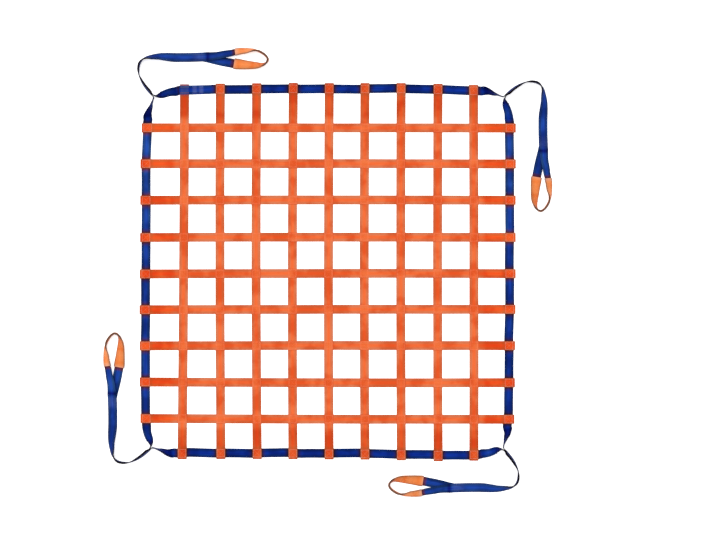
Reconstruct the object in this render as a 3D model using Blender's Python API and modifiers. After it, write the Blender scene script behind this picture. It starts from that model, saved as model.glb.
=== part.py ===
"""Square lifting net of sewn webbing, laid out flat on the floor.

Nine orange straps run each way and are sewn where they cross.  One blue belt
goes round the outside; the orange straps are folded round it.  At every corner
the belt leaves the net as a doubled lifting leg, opens into a soft eye inside an
orange wear sleeve, and comes back.  Metres, +Z up; the origin is on the floor
under the middle crossing.
"""
import math
from collections import namedtuple

import bmesh
import bpy
import numpy as np
from mathutils import Matrix, Vector

# ---- driving dimensions, metres -------------------------------------------
MM = 0.001
WEB_WIDTH = 0.050
WEB_THICK = 0.0025
GAP = 0.0003                        # left between pieces that lie on each other
LAYER = WEB_THICK + GAP             # height that one strap adds to a stack
STRAPS_EACH_WAY = 9

LEVEL_HALF = 0.030                  # half length of the level stretch at a crossing
SAG = 0.0012                        # how far an upper strap dips between crossings
FOLD_SLACK = 0.004                  # border's edge to the start of the strap's fold
FOLD_STEPS = 4                      # flats in the half turn of a fold
TAIL_STOP = 0.030                   # tail's cut end to the edge of the first crossing strap
STEP_DOWN = 0.040                   # length over which a strap comes down off the border

LEG_ROOT = 0.015                    # corner to where the two plies of a leg start
MAX_TURN = math.radians(14)         # most that a belt turns or leans between two sections
SLEEVE_WIDTH = 0.060
SLEEVE_WALL = 0.0012
SLEEVE_CLEARANCE = 0.0005           # belt's face to the sleeve's inner face
SLEEVE_EDGE = 0.0015                # how far the sleeve's folded edges narrow
SLEEVE_MOUTH = 0.436                # how far along the leg both mouths are
SLEEVE_THICK = WEB_THICK + 2 * (SLEEVE_CLEARANCE + SLEEVE_WALL)

LAP_STEP = 0.047                    # first strap's edge stretch to where the lap lies down
LAP_LENGTH = 0.107                  # first strap to the cut end of the under belt
SEW_EDGE = 0.028                    # first strap to the cut end of the upper belt
NOT_PLANAR = 0.0001                 # a face further out of flat than this gets a centre point

UP = Vector((0, 0, 1))

# ---- where the straps lie, millimetres ------------------------------------
# start, middle, end: sideways place of the strap at its two ends and half way.
# first_seat, last_seat: border's centre line where the strap's ends fold round it.
Strap = namedtuple("Strap", "start middle end first_seat last_seat")

UPRIGHTS = (                        # run along Y, top to bottom; places are X
    Strap(-793, -798, -806, 1008, -991),
    Strap(-596, -598, -593, 1013, -990),
    Strap(-396, -399, -393, 1015, -990),
    Strap(-194, -199, -196, 1017, -991),
    Strap(4, 0, 3, 1016, -992),
    Strap(201, 197, 201, 1016, -993),
    Strap(400, 398, 401, 1016, -997),
    Strap(603, 601, 604, 1012, -1002),
    Strap(799, 801, 801, 1006, -999),
)
CROSSWISE = (                       # run along X, left to right; places are Y
    Strap(802, 802, 801, -996, 999),
    Strap(604, 605, 603, -1003, 999),
    Strap(403, 405, 403, -1004, 998),
    Strap(198, 200, 198, -1005, 998),
    Strap(-3, 0, -1, -1007, 998),
    Strap(-200, -198, -198, -1008, 997),
    Strap(-399, -397, -398, -1007, 995),
    Strap(-598, -602, -602, -1007, 994),
    Strap(-799, -803, -803, -1003, 991),
)

# The belt lies a little aslant under the straps.  For every strap, clockwise: how
# much further out than the strap's seat the belt lies before and after it.
SLANTS = {
    "top": ((0, 1), (2, 0), (-1, 1), (0, -1), (1, 0), (-1, 2), (4, 1), (2, 1), (1, 0)),
    "right": ((-1, -3), (-1, -1), (0, 0), (1, -1), (-2, 0), (1, 0), (-2, 0), (0, -1), (0, -6)),
    "bottom": ((-2, 2), (-1, -4), (0, -1), (-1, -4), (-2, -1), (0, -4), (-1, 1), (-1, 0),
               (-5, -1)),
    "left": ((0, 4), (2, 1), (1, 2), (-1, 0), (1, -1), (0, 0), (0, 1), (2, 1), (2, 1)),
}
Seat = namedtuple("Seat", "along out before after")

# ---- corners and lifting legs, millimetres --------------------------------
# Each side of the border runs clockwise from the corner of the same row.
# swing: degrees that the corner and its leg are turned, anticlockwise positive.
Corner = namedtuple("Corner", "side x y swing")
CORNERS = (
    Corner("top", -959, 974, -0.4),
    Corner("right", 967, 970, -0.7),
    Corner("bottom", 960, -965, -0.7),
    Corner("left", -974, -956, -0.6),
)

# The belt's low edge near a corner.  reach: share of the way from the corner to
# the first strap.  inset: how far outwards of the corner the low edge lies.
# tilt: angle between the belt and the floor, 90 on edge.
Turn = namedtuple("Turn", "reach inset tilt")
LEAVING = (                         # from the corner on to its own side
    Turn(0.10, -3.8, 78),
    Turn(0.16, -6.1, 63),
    Turn(0.22, -8.2, 54),
    Turn(0.28, -8.1, 49),
    Turn(0.35, -7.6, 46),
    Turn(0.48, -2.8, 41),
    Turn(0.62, 2.3, 35),
    Turn(0.75, 3.9, 24),
    Turn(0.88, 4.2, 7),
)
ARRIVING = (                        # from the corner back on to the side before it
    Turn(0.14, 5, 90),
    Turn(0.26, 8.5, 84),
    Turn(0.38, 8.4, 73),
    Turn(0.50, 10.3, 63),
    Turn(0.63, 13, 47),
    Turn(0.70, 12.2, 27),
    Turn(0.77, 10.5, 8),
    Turn(0.89, 8, 0),
)
ARRIVES_OUT = 11                    # last strap's seat out from the corner, at which ARRIVING holds
SLANT_REACH = (0.63, 0.85)          # where the last strap's slant starts to show, and is full

# A lifting leg's low edge, from its corner: along the side that the leg follows,
# and out from the net.  raised: height of what it lies on.  sleeved: 1 where the
# wear sleeve holds the belt off the floor.
Bend = namedtuple("Bend", "along out tilt raised sleeved")
DOUBLED = (                         # both plies, corner to the eye's splice
    Bend(-23, 19, 80, 0, 0),
    Bend(-38, 34, 78, 0, 0),
    Bend(-68, 78, 82, 0, 0),
    Bend(-86, 120, 86, 0, 0),
    Bend(-88, 152, 88, 0, 0),
    Bend(-79, 187, 89, 0, 0),
    Bend(-67, 204, 84, 0, 0),
    Bend(-51, 216, 76, 0, 0),
    Bend(-17, 229, 57, 0, 0),
    Bend(22, 238, 42, 0, 0),
    Bend(66, 241, 24, 0, 0),
    Bend(121, 241, 0, 0, 0),
    Bend(193, 242, 0, 0, 0),
    Bend(265, 245, 0, 0, 0),
)
UPPER_BRANCH = (                    # splice to the eye's tip
    Bend(265, 245, 0, 2.8, 0),
    Bend(286, 247, 8, 2.8, 0),
    Bend(308, 247, 18, 1.4, 0),
    Bend(342, 249, 28, 0, 0),
    Bend(380, 256, 32, 0, 0),
    Bend(419, 261, 37, 0, 0.4),
    Bend(441, 265, 41, 0, 1),
    Bend(474, 268, 48, 0, 1),
    Bend(507, 268, 55, 0, 1),
    Bend(535, 266, 68, 0, 1),
    Bend(556, 260, 81, 0, 1),
    Bend(575, 252, 89, 0, 1),
    Bend(597, 240, 90, 0, 1),
    Bend(616, 224, 90, 0, 1),
    Bend(625, 208, 90, 0, 1),
)
LOWER_BRANCH = (                    # past the tip and back to the splice
    Bend(620, 195, 88, 0, 1),
    Bend(606, 187, 77, 0, 1),
    Bend(588, 187, 61, 0, 1),
    Bend(562, 190, 47, 0, 1),
    Bend(529, 195, 36, 0, 1),
    Bend(496, 200, 25, 0, 1),
    Bend(463, 206, 9, 0, 1),
    Bend(441, 209, 0, 0, 1),
    Bend(419, 213, 0, 0, 0.4),
    Bend(375, 221, 0, 0, 0),
    Bend(331, 231, 0, 0, 0),
    Bend(298, 239, 0, 0, 0),
    Bend(265, 245, 0, 0, 0),
)

# One cut across a belt: its middle, its width direction and its face direction.
Section = namedtuple("Section", "centre across normal along")


# ---- materials and meshes --------------------------------------------------
def webbing(name, colour, roughness):
    """A plain woven finish."""
    material = bpy.data.materials.new(name)
    material.use_nodes = True
    shader = material.node_tree.nodes["Principled BSDF"]
    shader.inputs["Base Color"].default_value = (*colour, 1)
    shader.inputs["Roughness"].default_value = roughness
    shader.inputs["Metallic"].default_value = 0
    return material


def add_object(name, mesh, collection, material):
    """One piece of the net."""
    mesh.materials.clear()
    mesh.materials.append(material)
    piece = bpy.data.objects.new(name, mesh)
    collection.objects.link(piece)
    return piece


def out_of_flat(face):
    """Distance of a quad's corners from its middle plane."""
    if len(face.verts) != 4:
        return 0
    face.normal_update()
    return abs(face.normal.dot(face.verts[0].co - face.calc_center_median()))


def loft(name, sections, outline, capped=True):
    """A mesh through one outline at every section; twisted faces get a centre point."""
    mesh = bmesh.new()
    rings = []
    for section in sections:
        points = (section.centre + section.across * a + section.normal * b for a, b in outline)
        rings.append([mesh.verts.new(point) for point in points])
    for near, far in zip(rings, rings[1:]):
        for side in range(len(outline)):
            after = (side + 1) % len(outline)
            mesh.faces.new((near[side], near[after], far[after], far[side]))
    if capped:
        mesh.faces.new(rings[0])
        mesh.faces.new(rings[-1])
    bmesh.ops.recalc_face_normals(mesh, faces=mesh.faces)
    bmesh.ops.poke(mesh, faces=[face for face in mesh.faces if out_of_flat(face) > NOT_PLANAR])
    data = bpy.data.meshes.new(name)
    mesh.to_mesh(data)
    mesh.free()
    return data


def web_outline(width=WEB_WIDTH, thick=WEB_THICK):
    """The four corners of a flat strap's cut end."""
    return ((width / 2, thick / 2), (-width / 2, thick / 2),
            (-width / 2, -thick / 2), (width / 2, -thick / 2))


# ---- belts that lean, twist and turn ----------------------------------------
def lean_section(foot, heading, lean, raised, stack, aside):
    """A belt standing on its low edge: lean 0 lies to the right, 180 to the left.

    stack is the thickness of all the plies there, aside this ply's place in it.
    """
    right = heading.cross(UP)
    across = right * math.cos(lean) + UP * math.sin(lean)
    normal = across.cross(heading)
    height = raised + stack / 2 * abs(math.cos(lean))
    centre = foot + UP * height + across * (WEB_WIDTH / 2) + normal * aside
    return Section(centre, across, normal, foot.x)


def smooth(rows):
    """Points on a smooth line through every row, closer where it turns or leans.

    The first three columns are x, y and lean.  They follow a cubic; the others
    go straight from row to row.  Returns the columns and the heading at each point.
    """
    knots = np.array(rows, dtype=float)
    lengths = np.linalg.norm(np.diff(knots[:, :2], axis=0), axis=1)
    reach = np.concatenate(([0.0], np.cumsum(lengths)))
    slopes = np.gradient(knots[:, :3], reach, axis=0)
    course = np.unwrap(np.arctan2(slopes[:, 1], slopes[:, 0]))
    points = []
    for i, length in enumerate(lengths):
        change = abs(course[i + 1] - course[i]) + abs(knots[i + 1, 2] - knots[i, 2])
        count = max(1, math.ceil(change / MAX_TURN))
        last = i == len(lengths) - 1
        for step in range(count + last):
            t = step / count
            from_here = (1 + 2 * t) * (1 - t) ** 2
            leave = t * (1 - t) ** 2 * length
            arrive = t * t * (t - 1) * length
            bent = (knots[i, :3] * from_here + knots[i + 1, :3] * (1 - from_here)
                    + slopes[i] * leave + slopes[i + 1] * arrive)
            straight = knots[i, 3:] * (1 - t) + knots[i + 1, 3:] * t
            points.append(np.concatenate((bent, straight)))
    points = np.array(points)
    headings = np.gradient(points[:, :2], axis=0)
    headings /= np.linalg.norm(headings, axis=1)[:, None]
    return points, headings


def corner_frame(corner):
    """Local frame of a corner: x along the side that follows it, y out of the net."""
    turn = math.radians(corner.swing) - math.pi / 2 * CORNERS.index(corner)
    place = Vector((corner.x, corner.y, 0)) * MM
    return Matrix.Translation(place) @ Matrix.Rotation(turn, 4, "Z")


def root_point():
    """Where the doubled leg starts, a short way out from the corner."""
    return Vector((DOUBLED[0].along, DOUBLED[0].out, 0)).normalized() * LEG_ROOT


# ---- lifting legs ------------------------------------------------------------
def bend_rows(bends):
    """Rows for smooth() in metres and radians."""
    return [(bend.along * MM, bend.out * MM, math.radians(bend.tilt), bend.raised * MM,
             bend.sleeved) for bend in bends]


def branch_sections(points, headings, backwards_from):
    """Single plies of the eye; past backwards_from the belt leans to its other side."""
    sections = []
    for index, (x, y, tilt, raised, sleeved) in enumerate(points):
        heading = Vector((*headings[index], 0))
        lean = math.pi - tilt if index > backwards_from else tilt
        standing = (SLEEVE_WIDTH - WEB_WIDTH) / 2 * math.sin(tilt)
        lying = (SLEEVE_THICK - WEB_THICK) / 2 * abs(math.cos(tilt))
        raised += sleeved * (standing + lying)
        sections.append(lean_section(Vector((x, y, 0)), heading, lean, raised, WEB_THICK, 0))
    return sections


def leg_sections():
    """The belt out along the upper ply, round the eye and back along the lower one."""
    start = root_point()
    start += start.normalized() * (GAP / 2)
    first = (start.x, start.y, math.radians(90), 0, 0)
    doubled, headings = smooth([first] + bend_rows(DOUBLED))
    outward, homeward = [], []
    for (x, y, tilt, raised, _), course in zip(doubled, headings):
        foot = Vector((x, y, 0))
        heading = Vector((*course, 0))
        tilt = max(0.0, min(tilt, math.pi / 2))
        outward.append(lean_section(foot, heading, tilt, raised, WEB_THICK + LAYER, LAYER / 2))
        homeward.append(lean_section(foot, -heading, math.pi - tilt, raised,
                                     WEB_THICK + LAYER, LAYER / 2))
    branch, courses = smooth(bend_rows(UPPER_BRANCH + LOWER_BRANCH))
    branch[:, 2] = np.clip(branch[:, 2], 0, math.pi / 2)
    tip = int(np.argmax(branch[:, 0]))
    eye = branch_sections(branch, courses, tip)[1:-1]
    return outward + eye + homeward[::-1]


def sleeve_sections(sections):
    """The stretch of the eye between the sleeve's two mouths."""
    inside = [index for index, section in enumerate(sections) if section.along > SLEEVE_MOUTH]
    return sections[inside[0]:inside[-1] + 1]


def sleeve_outline():
    """Middle of the sleeve's wall: a flat tube with narrowed edges."""
    half = (SLEEVE_WIDTH - SLEEVE_WALL) / 2
    flat = half - SLEEVE_EDGE
    face = (SLEEVE_THICK - SLEEVE_WALL) / 2
    return ((flat, face), (-flat, face), (-half, 0), (-flat, -face), (flat, -face), (half, 0))


def add_legs(collection, blue, orange):
    """Four legs and four sleeves; each kind shares one mesh."""
    sections = leg_sections()
    belt = loft("lifting_leg", sections, web_outline())
    tube = loft("eye_sleeve", sleeve_sections(sections), sleeve_outline(), capped=False)
    for corner in CORNERS:
        for name, mesh, finish in (("lifting_leg", belt, blue), ("eye_sleeve", tube, orange)):
            piece = add_object(f"{name}_{corner.side}", mesh, collection, finish)
            piece.matrix_world = corner_frame(corner)
            if mesh is tube:
                wall = piece.modifiers.new("wall", "SOLIDIFY")
                wall.thickness = SLEEVE_WALL
                wall.offset = 0
                wall.use_even_offset = True


# ---- border ------------------------------------------------------------------
# foot in the net's own frame, lean, height of what it lies on, the share of a
# ply's offset from the leg's middle line, for smooth()
def border_row(frame, along, out, tilt, raised=0.0, aside=0.0):
    """A row of the border's low edge, which is its inner edge; it leans outwards."""
    foot = frame @ Vector((along, out, 0))
    return (foot.x, foot.y, math.pi - math.radians(tilt), raised, aside)


def side_seats(side):
    """Where the straps fold round a side, clockwise."""
    places = {
        "top": [(strap.start, strap.first_seat) for strap in UPRIGHTS],
        "right": [(-strap.end, strap.last_seat) for strap in CROSSWISE],
        "bottom": [(-strap.end, -strap.last_seat) for strap in reversed(UPRIGHTS)],
        "left": [(strap.start, -strap.first_seat) for strap in reversed(CROSSWISE)],
    }[side]
    return [Seat(along * MM, out * MM, before * MM, after * MM)
            for (along, out), (before, after) in zip(places, SLANTS[side])]


def seat_rows(frame, seats):
    """Level rows at every strap, and one on the floor half way to the next."""
    rows = []
    for index, seat in enumerate(seats):
        edge = seat.out - WEB_WIDTH / 2
        rows.append(border_row(frame, seat.along - SEW_EDGE, edge + seat.before, 0, LAYER))
        rows.append(border_row(frame, seat.along + SEW_EDGE, edge + seat.after, 0, LAYER))
        if index + 1 < len(seats):
            following = seats[index + 1]
            next_edge = following.out - WEB_WIDTH / 2
            out = (edge + seat.after + next_edge + following.before) / 2
            rows.append(border_row(frame, (seat.along + following.along) / 2, out, 0, 0))
    return rows


def leaving_rows(corner, seats):
    """From the leg's root round the corner to the first strap."""
    frame = corner_frame(corner)
    side = Matrix.Rotation(-math.pi / 2 * CORNERS.index(corner), 4, "Z")
    start = (side.inverted() @ frame).translation
    span = seats[0].along - SEW_EDGE - start.x
    root = root_point() * (1 - GAP / (2 * LEG_ROOT))
    rows = [border_row(frame, root.x, root.y, 90, 0, 1),
            border_row(frame, 0, 0, 90, 0, 2)]
    rows += [border_row(frame, turn.reach * span, turn.inset * MM, turn.tilt) for turn in LEAVING]
    return rows


def arriving_rows(corner, seats):
    """From the last strap to the next corner and out to its leg's root."""
    frame = corner_frame(corner)
    side = Matrix.Rotation(-math.pi / 2 * (CORNERS.index(corner) - 1), 4, "Z")
    end = (side.inverted() @ frame).translation
    last = seats[-1]
    span = end.x - last.along - SEW_EDGE
    spread = (last.out - WEB_WIDTH / 2 - end.y) / ARRIVES_OUT
    root = root_point() * (1 - GAP / (2 * LEG_ROOT))
    rows = []
    for turn in reversed(ARRIVING):
        slant = np.interp(turn.reach, SLANT_REACH, (0, last.after))
        rows.append(border_row(frame, -turn.inset * spread - slant, -turn.reach * span, turn.tilt))
    return rows + [border_row(frame, 0, 0, 90, 0, 2), border_row(frame, root.x, root.y, 90, 0, 1)]


def border_sections(rows):
    """Sections of a single ply along the border's rows."""
    points, headings = smooth(rows)
    sections = []
    for (x, y, lean, raised, aside), course in zip(points, headings):
        lean = max(math.pi / 2, min(lean, math.pi))
        sections.append(lean_section(Vector((x, y, 0)), Vector((*course, 0)), lean, raised,
                                     WEB_THICK, aside * LAYER / 2))
    return sections


def lap_rows(frame, seats):
    """The under belt's cut end, and the upper belt's start over the first strap's fold."""
    first, second = seats[:2]
    edge = first.out + first.after - WEB_WIDTH / 2
    stretch = (second.out + second.before - first.out - first.after) / (second.along - first.along)

    def row(distance, layers):
        return border_row(frame, first.along + distance, edge + stretch * distance, 0,
                          layers * LAYER)

    under = [row(-SEW_EDGE, 1), row(SEW_EDGE, 1), row(SEW_EDGE + LAP_STEP, 0), row(LAP_LENGTH, 0)]
    upper = [row(-SEW_EDGE, 3), row(SEW_EDGE, 3), row(SEW_EDGE + LAP_STEP, 1),
             row(LAP_LENGTH + LAYER, 1), row(LAP_LENGTH + SEW_EDGE, 0.2)]
    return under, upper


def add_border(collection, blue):
    """The belt's four sides; its two ends lap over the first strap of the top side."""
    for index, corner in enumerate(CORNERS):
        following = CORNERS[(index + 1) % len(CORNERS)]
        frame = Matrix.Rotation(-math.pi / 2 * index, 4, "Z")
        seats = side_seats(corner.side)
        start = leaving_rows(corner, seats)
        middle = seat_rows(frame, seats)
        end = arriving_rows(following, seats)
        if index == 0:
            under, upper = lap_rows(frame, seats)
            short = loft("border_start", border_sections(start + under), web_outline())
            add_object("border_start", short, collection, blue)
            rows = upper + middle[3:] + end
        else:
            rows = start + middle + end
        name = f"border_{corner.side}"
        add_object(name, loft(name, border_sections(rows), web_outline()), collection, blue)


# ---- net straps ----------------------------------------------------------------
def strap_place(strap, share):
    """Sideways place on the gentle bow through the strap's ends and middle."""
    bow = strap.middle - (strap.start + strap.end) / 2
    straight = strap.start + (strap.end - strap.start) * share
    return (straight + bow * 4 * share * (1 - share)) * MM


def fold_path(seat, outwards):
    """Path of a strap's end, from over the border round its edge to under it."""
    radius = LAYER
    turn = seat + outwards * (WEB_WIDTH / 2 + FOLD_SLACK)
    path = []
    for step in range(FOLD_STEPS + 1):
        angle = math.pi * step / FOLD_STEPS
        path.append((turn + outwards * radius * math.sin(angle), LAYER + radius * math.cos(angle)))
    return path


def end_path(seat, crossing, outwards):
    """A strap's end from its cut tail on the floor up to the first crossing."""
    tail = crossing + outwards * (WEB_WIDTH / 2 + TAIL_STOP)
    off_border = seat - outwards * (WEB_WIDTH / 2 + LEVEL_HALF / 6)
    path = [(tail, 0)] + fold_path(seat, outwards)[::-1]
    path.append((off_border, 2 * LAYER))
    path.append((off_border - outwards * STEP_DOWN, LAYER))
    path.append((tail, LAYER))
    return path


def strap_path(strap, crossings, levels):
    """(distance, height) of the strap's underside from tail to tail."""
    forward = 1 if strap.last_seat > strap.first_seat else -1
    path = end_path(strap.first_seat * MM, crossings[0], -forward)
    always_over = all(levels)
    for index, (place, level) in enumerate(zip(crossings, levels)):
        path.append((place - forward * LEVEL_HALF, level * LAYER))
        path.append((place + forward * LEVEL_HALF, level * LAYER))
        if always_over and index + 1 < len(crossings):
            path.append(((place + crossings[index + 1]) / 2, LAYER - SAG))
    return path + end_path(strap.last_seat * MM, crossings[-1], forward)[::-1]


def strap_sections(strap, path, along_x):
    """Sections square to the path; the width stays level all the way."""
    first, last = strap.first_seat * MM, strap.last_seat * MM
    points = []
    for distance, height in path:
        aside = strap_place(strap, (distance - first) / (last - first))
        x, y = (distance, aside) if along_x else (aside, distance)
        points.append(Vector((x, y, height + WEB_THICK / 2)))
    across = Vector((0, 1, 0)) if along_x else Vector((1, 0, 0))
    sections = []
    for index, point in enumerate(points):
        before = (point - points[max(index - 1, 0)]).normalized()
        after = (points[min(index + 1, len(points) - 1)] - point).normalized()
        heading = (before + after).normalized()
        normal = across.cross(heading).normalized()
        half_bend = before.angle(after) / 2 if before.length and after.length else 0
        sections.append(Section(point, across, normal / math.cos(half_bend), point.x))
    return sections


def is_over(upright):
    """Every other upright strap, the first one among them, lies over all it crosses."""
    return upright % 2 == 0


def add_straps(collection, orange):
    """Nine straps each way, tails folded under round the border."""
    last = STRAPS_EACH_WAY - 1
    for number, strap in enumerate(UPRIGHTS):
        share = number / last
        crossings = [strap_place(other, share) for other in CROSSWISE]
        path = strap_path(strap, crossings, [is_over(number)] * STRAPS_EACH_WAY)
        name = f"strap_upright_{number + 1}"
        sections = strap_sections(strap, path, along_x=False)
        add_object(name, loft(name, sections, web_outline()), collection, orange)
    for number, strap in enumerate(CROSSWISE):
        share = number / last
        crossings = [strap_place(other, share) for other in UPRIGHTS]
        levels = [not is_over(upright) for upright in range(STRAPS_EACH_WAY)]
        path = strap_path(strap, crossings, levels)
        name = f"strap_crosswise_{number + 1}"
        sections = strap_sections(strap, path, along_x=True)
        add_object(name, loft(name, sections, web_outline()), collection, orange)


def build():
    """Clear the scene and lay out the net."""
    for old in list(bpy.data.objects):
        bpy.data.objects.remove(old)
    collection = bpy.data.collections.new("cargo_net")
    bpy.context.scene.collection.children.link(collection)
    orange = webbing("orange_webbing", (0.84, 0.12, 0.03), 0.75)
    blue = webbing("blue_webbing", (0.012, 0.045, 0.30), 0.7)
    sleeve = webbing("orange_sleeve", (0.90, 0.25, 0.06), 0.85)
    add_straps(collection, orange)
    add_border(collection, blue)
    add_legs(collection, blue, sleeve)


build()
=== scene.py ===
import math
import random

import bpy
import numpy as np
from mathutils import Matrix, Vector


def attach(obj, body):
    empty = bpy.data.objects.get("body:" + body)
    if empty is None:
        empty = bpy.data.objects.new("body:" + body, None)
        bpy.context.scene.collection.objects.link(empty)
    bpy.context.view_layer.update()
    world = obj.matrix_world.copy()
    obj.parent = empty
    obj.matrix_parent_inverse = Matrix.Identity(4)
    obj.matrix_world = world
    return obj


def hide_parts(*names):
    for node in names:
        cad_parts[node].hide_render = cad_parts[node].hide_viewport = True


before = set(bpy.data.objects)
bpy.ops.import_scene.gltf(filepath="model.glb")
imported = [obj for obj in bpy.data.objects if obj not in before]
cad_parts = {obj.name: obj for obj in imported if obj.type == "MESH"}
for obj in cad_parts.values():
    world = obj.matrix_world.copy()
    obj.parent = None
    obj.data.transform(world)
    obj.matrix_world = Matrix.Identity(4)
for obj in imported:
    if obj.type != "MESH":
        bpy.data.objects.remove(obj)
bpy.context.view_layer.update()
print("frame loaded:", len(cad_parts), "nodes")

mm = 0.001
up = Vector((0, 0, 1))
collection = bpy.context.scene.collection

# camera
view = {"place": (0.162545, 0.018734, 10.9588), "lens": 100, "sensor": 36}

camera = bpy.data.objects.new("camera", bpy.data.cameras.new("camera"))
collection.objects.link(camera)
camera.location = view["place"]  # looks straight down
camera.data.lens = view["lens"]
camera.data.sensor_width = view["sensor"]
camera.data.clip_end = 200
bpy.context.scene.camera = camera


class Wire:  # a node's output, so that sums can be written as expressions
    def __init__(self, graph, socket):
        self.graph = graph
        self.socket = socket

    def calc(self, operation, *values):
        return self.graph.add("ShaderNodeMath", {"operation": operation}, dict(enumerate(values)))

    def out(self, name):  # another output of the same node
        return Wire(self.graph, self.socket.node.outputs[name])

    def __add__(self, other):
        return self.calc("ADD", self, other)

    def __sub__(self, other):
        return self.calc("SUBTRACT", self, other)

    def __rsub__(self, other):
        return self.calc("SUBTRACT", other, self)

    def __mul__(self, other):
        return self.calc("MULTIPLY", self, other)

    def __truediv__(self, other):
        return self.calc("DIVIDE", self, other)

    __radd__ = __add__
    __rmul__ = __mul__


class Graph:
    def __init__(self, tree):
        self.tree = tree

    def add(self, kind, settings=None, values=None, output=0):
        node = self.tree.nodes.new(kind)
        for name, value in (settings or {}).items():
            setattr(node, name, value)
        for name, value in (values or {}).items():
            if isinstance(value, Wire):
                self.tree.links.new(value.socket, node.inputs[name])
            else:
                node.inputs[name].default_value = value
        return Wire(self, node.outputs[output])

    def mixColour(self, amount, first, second, blend="MIX"):
        first, second = [c if isinstance(c, Wire) else (*c, 1) for c in (first, second)]
        return self.add("ShaderNodeMix", {"data_type": "RGBA", "blend_type": blend},
                        {0: amount, 6: first, 7: second}, 2)

    def tint(self, amount, colour, factors):
        return self.mixColour(amount, colour, factors, "MULTIPLY")

    def band(self, value, low, high):  # 0 up to low, 1 from high on
        return self.add("ShaderNodeMapRange", {"interpolation_type": "SMOOTHSTEP"},
                        {0: value, 1: low, 2: high, 3: 0.0, 4: 1.0})

    def noise(self, x, y, z, detail=2.0):  # coordinates in the noise's own lumps
        place = self.add("ShaderNodeCombineXYZ", None, {0: x, 1: y, 2: z})
        return self.add("ShaderNodeTexNoise", None, {"Vector": place, "Scale": 1.0, "Detail": detail})

    def grey(self, value):  # a number as a colour
        return self.add("ShaderNodeCombineColor", None, {0: value, 1: value, 2: value})


def newTree(name, inputs):
    tree = bpy.data.node_groups.new(name, "GeometryNodeTree")
    tree.is_modifier = True
    tree.interface.new_socket("Geometry", in_out="OUTPUT", socket_type="NodeSocketGeometry")
    tree.interface.new_socket("Geometry", in_out="INPUT", socket_type="NodeSocketGeometry")
    for label, kind in inputs:
        tree.interface.new_socket(label, in_out="INPUT", socket_type=f"NodeSocket{kind}")
    graph = Graph(tree)
    return graph, graph.add("NodeGroupInput")


def closeTree(graph, geometry, finish):
    real = graph.add("GeometryNodeRealizeInstances", None, {0: geometry})
    done = graph.add("GeometryNodeSetMaterial", None, {"Geometry": real, "Material": finish})
    end = graph.tree.nodes.new("NodeGroupOutput")
    graph.tree.links.new(done.socket, end.inputs[0])
    return graph.tree


def grow(name, mesh, tree, sizes):  # the plain result of a tree run on a mesh
    source = bpy.data.objects.new(f"{name}_path", mesh)
    collection.objects.link(source)
    modifier = source.modifiers.new("grow", "NODES")
    modifier.node_group = tree
    for item in tree.interface.items_tree:
        if item.in_out == "INPUT" and item.name in sizes:
            modifier[item.identifier] = sizes[item.name]
    bpy.context.view_layer.update()
    depsgraph = bpy.context.evaluated_depsgraph_get()
    result = bpy.data.meshes.new_from_object(source.evaluated_get(depsgraph))
    source.modifiers.remove(modifier)
    bpy.data.objects.remove(source)
    result.name = name
    piece = bpy.data.objects.new(name, result)
    collection.objects.link(piece)
    return piece


def pathMesh(name, points, edges, vectors):
    mesh = bpy.data.meshes.new(name)
    mesh.from_pydata([tuple(p) for p in points], edges, [])
    for label, values in vectors.items():
        mesh.attributes.new(label, "FLOAT_VECTOR", "POINT").data.foreach_set(
            "vector", np.asarray(values, dtype=np.float32).ravel())
    return mesh


# webbing: one cut outline carried along a path
webbing = {
    "width": 0.050,
    "thickness": 0.0025,
    "gap": 0.0003,  # left between plies
    "ribs": 9,  # raised cords across each face
    "ribDepth": 0.00014,
    "edge": 0.0007,  # half height of the selvedge
}
layer = webbing["thickness"] + webbing["gap"]
half = webbing["width"] / 2
face = webbing["thickness"] / 2
places = 4 * webbing["ribs"] + 2  # points round one cut


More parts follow.
